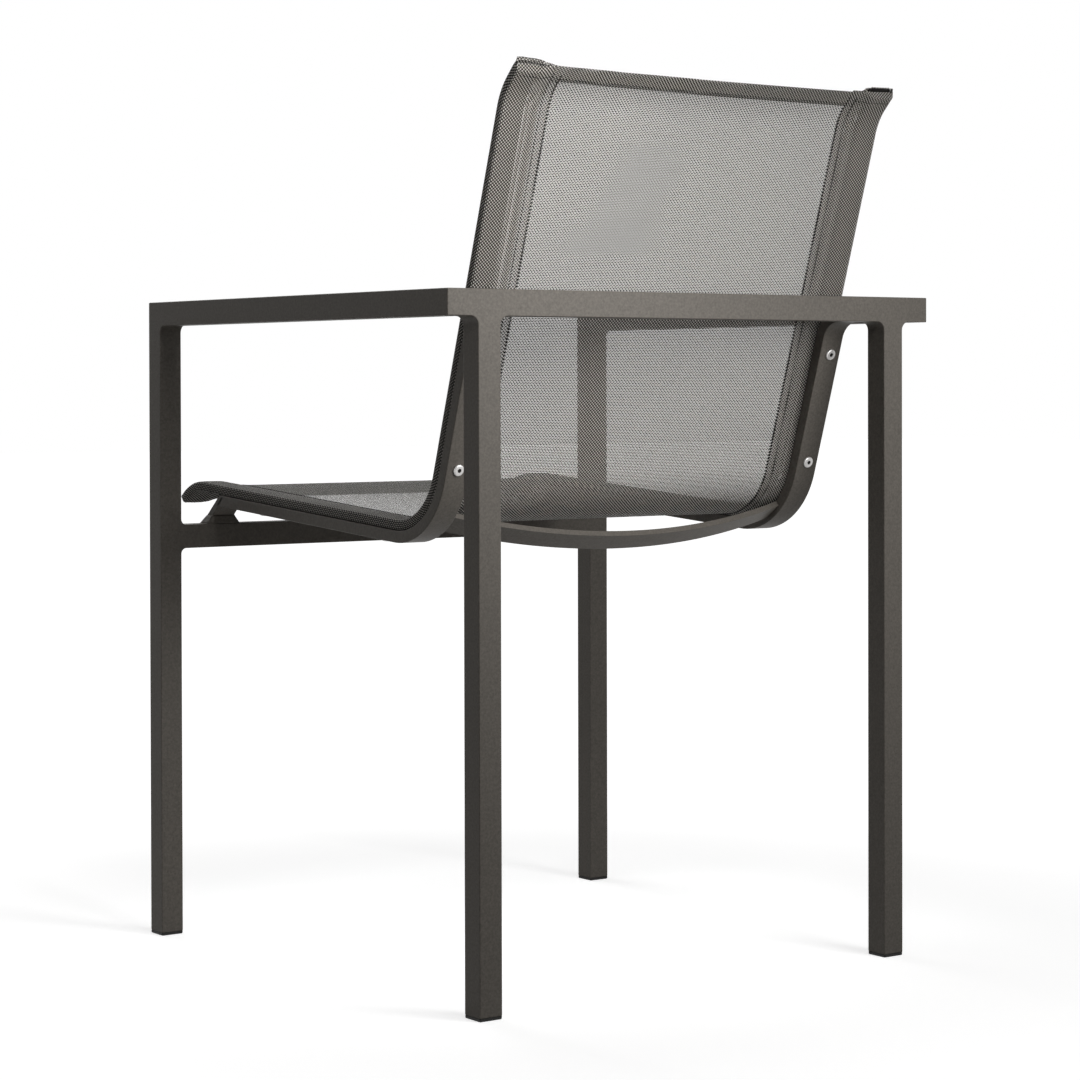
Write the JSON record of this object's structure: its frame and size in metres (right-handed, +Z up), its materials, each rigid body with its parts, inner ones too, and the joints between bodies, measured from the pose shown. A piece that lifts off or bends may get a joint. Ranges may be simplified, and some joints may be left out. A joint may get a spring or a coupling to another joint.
{
  "type": "sling patio chair",
  "caption": "Stacking patio armchair: welded square-tube frame with a U-shaped arm loop and a mesh sling stretched between two bent side rails.",
  "frame": {"origin": "point on the floor under the middle of the chair's whole width and depth", "axes": "+Z up, the sitter faces -Y, +X to the sitter's left"},
  "size_m": [0.592, 0.6314, 0.8801],
  "materials": {
    "frame_paint": "fine-textured satin powder coat, warm dark grey, on aluminium tube",
    "sling_mesh": "woven coated-yarn mesh, see-through, warm dark grey",
    "black_plastic": "matt black moulded plastic",
    "bare_aluminium": "plain mill finish, hidden inside the sleeves",
    "stainless_steel": "bright stainless button head with a hex socket"
  },
  "bodies": {
    "root": {"arm_left": "frame_paint", "arm_right": "frame_paint", "cross_bar": "frame_paint", "front_foot_cap_left": "black_plastic", "front_foot_cap_right": "black_plastic", "front_leg_left": "frame_paint", "front_leg_right": "frame_paint", "front_rail_plug_left": "black_plastic", "front_rail_plug_right": "black_plastic", "front_seat_insert_left": "bare_aluminium", "front_seat_insert_right": "bare_aluminium", "front_seat_screw_left": "stainless_steel", "front_seat_screw_right": "stainless_steel", "front_stretcher": "frame_paint", "front_strut_left": "frame_paint", "front_strut_right": "frame_paint", "lower_back_insert_left": "bare_aluminium", "lower_back_insert_right": "bare_aluminium", "lower_back_screw_left": "stainless_steel", "lower_back_screw_right": "stainless_steel", "rear_foot_cap_left": "black_plastic", "rear_foot_cap_right": "black_plastic", "rear_leg_left": "frame_paint", "rear_leg_right": "frame_paint", "rear_rail": "frame_paint", "rear_seat_insert_left": "bare_aluminium", "rear_seat_insert_right": "bare_aluminium", "rear_seat_screw_left": "stainless_steel", "rear_seat_screw_right": "stainless_steel", "sling": "sling_mesh", "sling_rail_left": "bare_aluminium", "sling_rail_right": "bare_aluminium", "support_bar_left": "frame_paint", "support_bar_right": "frame_paint", "top_rail_plug_left": "black_plastic", "top_rail_plug_right": "black_plastic", "upper_back_insert_left": "bare_aluminium", "upper_back_insert_right": "bare_aluminium", "upper_back_screw_left": "stainless_steel", "upper_back_screw_right": "stainless_steel"}
  },
  "joints": []
}
